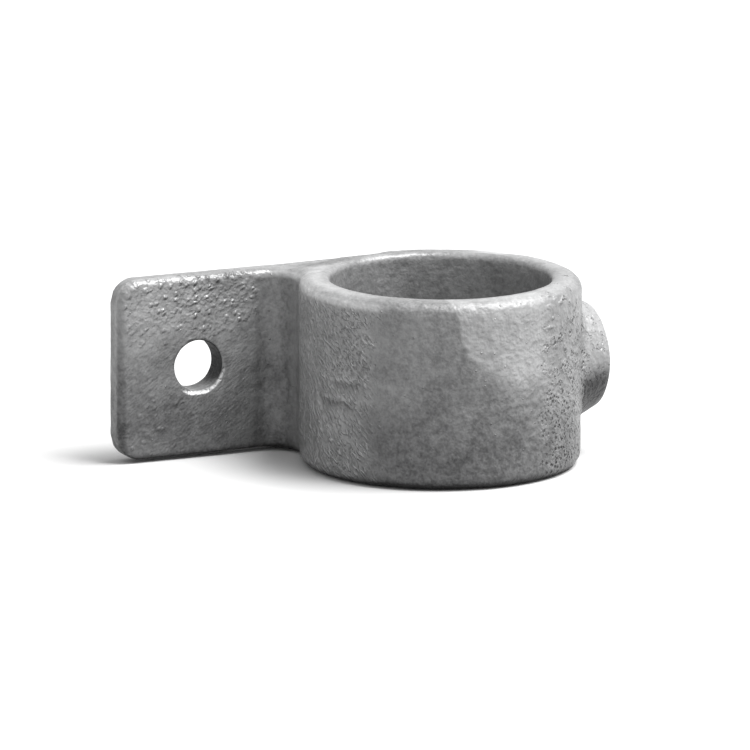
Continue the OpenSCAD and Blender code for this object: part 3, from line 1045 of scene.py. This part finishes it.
        # Painted light: the whole left zone is made paler
        self.put(left, tone=0.26)
        self.put(below_rim * grit, relief=0.35)
        self.put(strokes, relief=0.50, tone=0.32)
        self.put(pores, relief=-0.22, tone=-0.16)

    def ring_folds(self):
        """Two folds on the ring's left, each with painted shade in it and a painted highlight on the ridge
        above it, and a pale vein beside them.
        """
        zinc, ridge_height = self.zinc, 1.7
        for middle, height, slope, half in self.folds:
            fold = self.ahead * zinc.mask((zinc.size(self.arc - middle), half, half - 2.5))
            above = self.above_line(middle, height, slope, wander=2.0)
            aside = zinc.size(above)
            self.put(fold * zinc.mask((aside, 1.7, 0.1)), relief=-0.70)
            # Painted shade in the fold
            self.put(fold * zinc.mask((aside, 1.0, 0.2)), tone=-0.16)
            # Painted highlight on the ridge above the fold
            self.put(fold * zinc.mask((zinc.size(above - ridge_height), 1.0, 0.1)), tone=0.14)
        middle, height, slope, half = self.vein
        aside = zinc.size(self.above_line(middle, height, slope, wander=4.0))
        vein = zinc.mask((zinc.size(self.arc - middle), half, half - 6), (aside, 2.6, 0.2))
        self.put(self.ahead * vein * zinc.mask((self.mottle, 0.30, 0.60)), tone=0.15)

    def ring_right(self):
        """The ring's right: a band of pits beside the boss, and lumps that lean between it and the front."""
        zinc, at, z, turn = self.zinc, self.at, self.z, self.turn
        border_wander, thinning, lump_lean = 0.5, 0.010, 0.6
        border = turn + border_wander * (self.clouds - 0.5)
        band = self.band = self.on_ring * zinc.mask((border, 0.28, 0.5), (turn, 2.2, 1.4), (self.x, 8, 12))
        spread = zinc.noise(at, size=2.6, detail=1)
        pitted = band * zinc.mask((spread - thinning * z, 0.36, 0.52))
        wide_pits = zinc.mask((zinc.spots(at, size=1.5), 0.36, 0.12), (spread, 0.48, 0.58))
        small_pits = zinc.mask((zinc.spots(at, size=1.05), 0.46, 0.16), (self.grit, 0.62, 0.46))
        lumpy = self.on_ring * zinc.mask((turn, -0.12, 0.12), (z, 9, 3)) * (1 - band)
        lumps = zinc.noise(zinc.slanted(self.arc, z, lump_lean, drawn_out=0.6), size=1.9, detail=1)
        self.put(pitted * self.grit, relief=0.5)
        self.put(pitted * zinc.math("MAXIMUM", wide_pits, small_pits), relief=-0.5, tone=-0.50)
        self.put(band * zinc.mask((z, 8, -6)), tone=0.12)
        self.put(lumpy * lumps, relief=0.55)

    def pale_patch(self):
        """The pale patch right of the ring's front, where the zinc ran thick.

        Its lower border slopes down towards the boss, turns up on the left and grows softer to the right. It
        is weaker on the band of pits and on the ring's upper edge.
        """
        zinc, x, z, top = self.zinc, self.x, self.z, self.ring_top
        height, slope, turn_up, turn_x, steepness, wander = 3.0, 0.5, 9.0, -10.0, 0.5, 8.0
        sharpest, softening, soft_x = 1.7, 0.22, -8.0
        band_share, rim_share = 0.7, 0.35
        border = height - slope * x + turn_up * zinc.math("EXPONENT", (turn_x - x) * steepness)
        border = border + wander * (self.cloth - 0.5)
        past_border = (z - border) / (sharpest + softening * zinc.above(x - soft_x))
        patch = self.outside * zinc.mask((past_border, -0.6, 1), (0 - self.y, 14, 20))
        patch = patch * (1 - band_share * self.band) * (1 - rim_share * zinc.mask((z, top - 3, top - 1)))
        self.put(patch, tone=0.36)

    def boss(self):
        """The boss: painted light above and painted shade below, most of it on its front, with a few pits.
        """
        zinc, z, wall = self.zinc, self.z, self.s.ring_radius
        behind_share = 0.15
        boss = zinc.mask((self.from_axis, wall + 0.1, wall + 1.2), (self.x, 0, 5))
        # Painted shade under the boss, weaker behind it
        under = zinc.mask((z, 1.5, -6.5)) * mix(behind_share, 1, zinc.mask((self.y, 4, -5)))
        pits = zinc.mask((self.grit, 0.46, 0.36), (self.mottle, 0.45, 0.60))
        # Painted light on the boss's upper side, and painted shade under it
        self.put(boss * zinc.mask((z, -6, 5)), tone=0.24)
        self.put(boss * under, tone=-0.72)
        self.put(boss * self.peel, relief=0.25)
        self.put(boss * pits, relief=-0.35, tone=-0.16)

    def upper_lip(self):
        """The ring's upper outer edge, darkened a little by painted shade that dims its highlight and made
        duller, and its upper face, paler by the boss.
        """
        zinc, z, wall, top = self.zinc, self.z, self.s.ring_radius, self.ring_top
        lip_light_and_shade = zinc.mask((self.from_axis, wall - 2.8, wall - 1.6), (z, top - 3.2, top - 1.6))
        face = zinc.mask((z, top - 0.4, top - 0.1), (self.x, 0, 12))
        # Painted shade that dims the highlight on the ring's upper outer edge
        self.put(self.on_ring * lip_light_and_shade, tone=-0.04, roughness=0.10)
        self.put(self.on_ring * face, tone=0.13)

    def material(self):
        """The finished material."""
        looks, zinc = self.looks, self.zinc
        base = zinc.blend(colour(looks.zinc_dark), colour(looks.zinc_light), looks.light_share * self.tone)
        normal = zinc.bump(self.relief)
        zinc.set(base_color=base, metallic=looks.metal, roughness=self.roughness, normal=normal)
        zinc.dull(looks.shine)
        return zinc.owner


def zinc_material(s, looks):
    """Hot dip galvanised cast iron: grained, pitted and mottled, brighter where the zinc ran thick."""
    coat = ZincCoat(s, looks)
    lug = (coat.lug_grains, coat.lug_edges, coat.lug_root, coat.bolt_hole)
    ring = (coat.ring_left, coat.ring_folds, coat.ring_right, coat.pale_patch, coat.upper_lip)
    for add_part in (coat.all_over, coat.drained, *lug, *ring, coat.boss):
        add_part()
    return coat.material()


def steel_material(looks):
    """Zinc plated steel, turned: fine rings round the screw's axis."""
    steel = Shader(bpy.data.materials.new("plated_screw"))
    at = steel.place()
    ring_pinch, ring_height, ring_gloss, darkest = 9.0, 0.012, 0.15, 0.75
    rings = steel.noise(steel.pinched(at, ring_pinch), size=1.2, detail=3, rough=0.6)
    clouds = steel.noise(at, size=2.2, detail=2, rough=0.5)
    base = steel.blend(colour(looks.steel), colour([darkest * part for part in looks.steel]), clouds)
    normal = steel.bump(ring_height * rings)
    steel.set(base_color=base, metallic=0.9, roughness=0.36 + ring_gloss * rings, normal=normal)
    return steel.owner


def floor_material(looks):
    """A plain pale floor that sends little light back up at the object."""
    floor = Shader(bpy.data.materials.new("pale_floor"))
    base = floor.blend(colour(looks.floor_bounce), colour(looks.floor), floor.in_view())
    floor.set(base_color=base, roughness=0.9)
    floor.dull(0.0)
    return floor.owner


def studio_world(looks):
    """White round the picture, and a plain grey light on the object."""
    world = Shader(bpy.data.worlds.new("studio"))
    world.set(color=world.blend(colour(looks.fill), colour((1, 1, 1)), world.in_view()), strength=1.0)
    return world.owner


# Threads


def full_turn(columns=144):
    """Evenly spaced turns all the way round."""
    return np.linspace(0, 2 * math.pi, columns + 1)


def thread_wave(s, x, turn):
    """How far a right-hand thread stands above its root, from 0 to 1, at a place along and round its axis.

    The thread's phase grows by one for each pitch along the axis and each turn. A wave with steep flanks
    follows the phase, and its crest and root are rounded.
    """
    flank_start, flank_end = 0.08, 0.92
    phase = x / s.thread_pitch - turn / (2 * math.pi)
    ramp = np.abs((phase % 1) * 2 - 1)
    return ease(ramp, start=flank_start, full=flank_end)


def screw_grid(s):
    """The set screw as one grid: a profile from the middle of the cup to the bottom of the socket, turned.

    The thread's wave is added to the straight part. In the socket the radius follows a hexagon, whose mouth
    has a round chamfer, and its bottom is the drill's shallow cone.
    """
    turn = full_turn()
    chamfer_out, chamfer_reach, drill_depth, rows_per_pitch = 0.3, 0.8, 0.9, 14
    cup_steps, rim_steps, socket_steps, floor_steps = 6, 5, 8, 6
    crest = s.thread_radius - s.thread_gap
    start, stop = s.screw_point, s.screw_head
    small = crest - s.screw_chamfer
    thread_x = stations(start, stop, s.thread_pitch / rows_per_pitch)
    cone = np.minimum(small + thread_x - start, small + stop - thread_x)[:, None]
    standing = thread_wave(s, thread_x[:, None], turn[None])
    thread_r = np.minimum(crest - s.thread_depth * (1 - standing), cone)

    even = np.ones(len(turn))
    sector = (turn + math.pi / 6) % (math.pi / 3) - math.pi / 6
    hexagon = s.socket_flats / 2 / np.cos(sector)
    wide = s.socket_flats / 2 / math.cos(math.pi / 6) + chamfer_out
    mouth = stop - (wide - hexagon) * s.socket_chamfer / chamfer_reach
    floor_x = stop - s.socket_depth

    rows = [(start + s.cup_depth, 0 * even)]
    rows += [(start + s.cup_depth * (1 - t), s.cup_radius * t * even) for t in shares(cup_steps)[1:]]
    rows += [(start, mix(s.cup_radius, small, t) * even) for t in shares(rim_steps)[1:-1]]
    rows += list(zip(thread_x, thread_r))
    rows += [(stop, mix(small, wide, t) * even) for t in shares(rim_steps)[1:]]
    rows += [(mix(stop, mouth, t), mix(wide, hexagon, t)) for t in shares(2)[1:]]
    rows += [(mix(mouth, floor_x, t), hexagon) for t in shares(socket_steps)[1:]]
    rows += [(floor_x - drill_depth * t, hexagon * (1 - t)) for t in shares(floor_steps)[1:]]
    return np.array([round_screw(x, radius, turn) for x, radius in rows])


def boss_thread_grid(s):
    """The boss's inner thread as one closed grid: in along the thread, across, back along a plain wall.

    The inner end follows the bore, and the outer end the chamfer of the mouth. Where the thread meets the
    bore is found by stepping towards it a few times.
    """
    turn = full_turn()
    root_play, wall_play, bore_play, mouth_wall = 0.05, 0.4, 0.05, 0.35
    rounds, stride, steps = 6, 0.7, 139
    wall_r = s.thread_radius + wall_play
    root_r = s.thread_radius + root_play

    def bore_x(radius):
        return np.sqrt((s.bore_radius + bore_play) ** 2 - (radius * np.cos(turn)) ** 2)

    def thread_r(x):
        standing = thread_wave(s, x + s.thread_pitch / 2, turn)
        return np.maximum(root_r - s.thread_depth * standing, s.mouth - (s.boss_end - x))

    start = bore_x(root_r)
    for _ in range(rounds):
        start = mix(start, bore_x(thread_r(start)), stride)
    mouth_x = s.boss_end - (s.mouth - root_r)
    x = mix(start[None], mouth_x, shares(steps)[:, None])
    inner = round_screw(x, thread_r(x), turn)
    outer = [round_screw(mouth_x - mouth_wall, wall_r, turn), round_screw(bore_x(wall_r), wall_r, turn)]
    return np.concatenate([inner, outer, inner[:1]])


# Operators


class CLAMP_OT_casting(bpy.types.Operator):
    """Make the galvanised casting: ring, lug and boss in one piece"""

    bl_idname = "pipe_clamp.casting"
    bl_label = "Casting"

    def execute(self, context):
        s = in_mm(context.scene.clamp_sizes)
        looks = in_mm(context.scene.clamp_looks)
        mesh = sewn_mesh("cast_clamp", casting_grids(s))

        def distance(points):
            return casting_distance(points, s)

        points = settle(read_points(mesh), distance)
        slope = gradient(points, distance)
        outward = slope / np.linalg.norm(slope, axis=1, keepdims=True)
        points = points + outward * cast_relief(points, s, looks)[:, None]

        # The relief doesn't reach below the floor that the ring stands on
        points[:, 2] = np.maximum(points[:, 2], -s.ring_height / 2)
        body = BODY_OF["clamp_body"]
        finish_piece("cast_clamp", mesh, points, zinc_material(s, looks), body, "casting", "clamp_body")
        return {"FINISHED"}


class CLAMP_OT_threads(bpy.types.Operator):
    """Make the set screw and the thread that it turns in"""

    bl_idname = "pipe_clamp.threads"
    bl_label = "Set screw and thread"

    def execute(self, context):
        s = in_mm(context.scene.clamp_sizes)
        steel = steel_material(in_mm(context.scene.clamp_looks))
        zinc = bpy.data.materials["galvanised_casting"]
        screw = sewn_mesh("socket_set_screw", [(screw_grid(s), None)])
        thread = sewn_mesh("boss_thread", [(boss_thread_grid(s), None)])
        body = BODY_OF["set_screw"]
        finish_piece("socket_set_screw", screw, read_points(screw), steel, body, "screw", "set_screw")
        finish_piece("boss_thread", thread, read_points(thread), zinc, BODY_OF["clamp_body"], "casting")
        return {"FINISHED"}


def area_lamp(name, place, size, power):
    """A square soft lamp at a place, looking at the origin. Lengths are in metres and power in watts."""
    lamp = bpy.data.lights.new(name, "AREA")
    lamp.size = size
    lamp.energy = power
    holder = bpy.data.objects.new(name, lamp)
    holder.location = place
    holder.rotation_euler = (-place).to_track_quat("-Z", "Y").to_euler()
    bpy.context.scene.collection.objects.link(holder)


class CLAMP_OT_stage(bpy.types.Operator):
    """Make the floor, the lamp and the camera"""

    bl_idname = "pipe_clamp.stage"
    bl_label = "Stage"

    # The camera, from the photograph's perspective. Its distance is in metres, and the picture's width and
    # the origin's place right of its middle and above it are in pixels
    azimuth = math.radians(-25.4)
    elevation = math.radians(12.3)
    roll = math.radians(0.16)
    distance = 2.6
    pixels_per_metre = 4452
    picture = 750
    origin_right, origin_up = 65.1, 7.0
    sensor_in_mm = 36

    # The floor and the lamp, in metres
    floor_half = 3.0
    lamp_side = Vector((0.35, -0.25, 0.9))
    lamp_distance = 2.0
    lamp_size = 1.2

    def execute(self, context):
        looks = in_mm(context.scene.clamp_looks)
        scene = context.scene
        scene.view_settings.view_transform = "Standard"

        floor = bpy.data.meshes.new("floor")
        corners = [(-1, -1), (1, -1), (1, 1), (-1, 1)]
        points = [(x * self.floor_half, y * self.floor_half, CAST_LOW.z) for x, y in corners]
        floor.from_pydata(points, [], [(0, 1, 2, 3)])
        floor.materials.append(floor_material(looks))
        ground = bpy.data.objects.new("floor", floor)
        scene.collection.objects.link(ground)

        scene.world = studio_world(looks)
        area_lamp("key_lamp", self.lamp_side.normalized() * self.lamp_distance, self.lamp_size, looks.key)

        lens = bpy.data.cameras.new("camera")
        lens.sensor_width = self.sensor_in_mm
        lens.lens = self.pixels_per_metre * self.distance * lens.sensor_width / self.picture
        camera = bpy.data.objects.new("camera", lens)
        ca, sa = math.cos(self.azimuth), math.sin(self.azimuth)
        ce, se = math.cos(self.elevation), math.sin(self.elevation)
        back = Vector((sa * ce, -ca * ce, se))
        right = Vector((ca, sa, 0))
        up = back.cross(right)
        turned = Matrix((right, up, back)).transposed().to_4x4() @ Matrix.Rotation(self.roll, 4, "Z")
        aside = (right * self.origin_right + up * self.origin_up) / self.pixels_per_metre
        camera.matrix_world = Matrix.Translation(back * self.distance - aside) @ turned
        scene.collection.objects.link(camera)
        scene.camera = camera
        return {"FINISHED"}


class CLAMP_PT_panel(bpy.types.Panel):
    """Buttons and sizes of the pipe clamp"""

    bl_idname = "CLAMP_PT_panel"
    bl_label = "Pipe clamp"
    bl_space_type = "VIEW_3D"
    bl_region_type = "UI"
    bl_category = "Pipe clamp"

    def draw(self, context):
        for operator in (CLAMP_OT_stage, CLAMP_OT_casting, CLAMP_OT_threads):
            self.layout.operator(operator.bl_idname)
        for group in (context.scene.clamp_sizes, context.scene.clamp_looks):
            box = self.layout.box()
            for name in group.__annotations__:
                box.prop(group, name)


CLASSES = (ClampSizes, ClampLooks, CLAMP_OT_stage, CLAMP_OT_casting, CLAMP_OT_threads, CLAMP_PT_panel)


def register():
    for cls in CLASSES:
        bpy.utils.register_class(cls)
    bpy.types.Scene.clamp_sizes = bpy.props.PointerProperty(type=ClampSizes)
    bpy.types.Scene.clamp_looks = bpy.props.PointerProperty(type=ClampLooks)


def unregister():
    del bpy.types.Scene.clamp_looks
    del bpy.types.Scene.clamp_sizes
    for cls in reversed(CLASSES):
        bpy.utils.unregister_class(cls)


def main():
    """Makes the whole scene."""
    register()
    bpy.ops.pipe_clamp.stage()
    bpy.ops.pipe_clamp.casting()
    bpy.ops.pipe_clamp.threads()


if __name__ == "__main__":
    main()
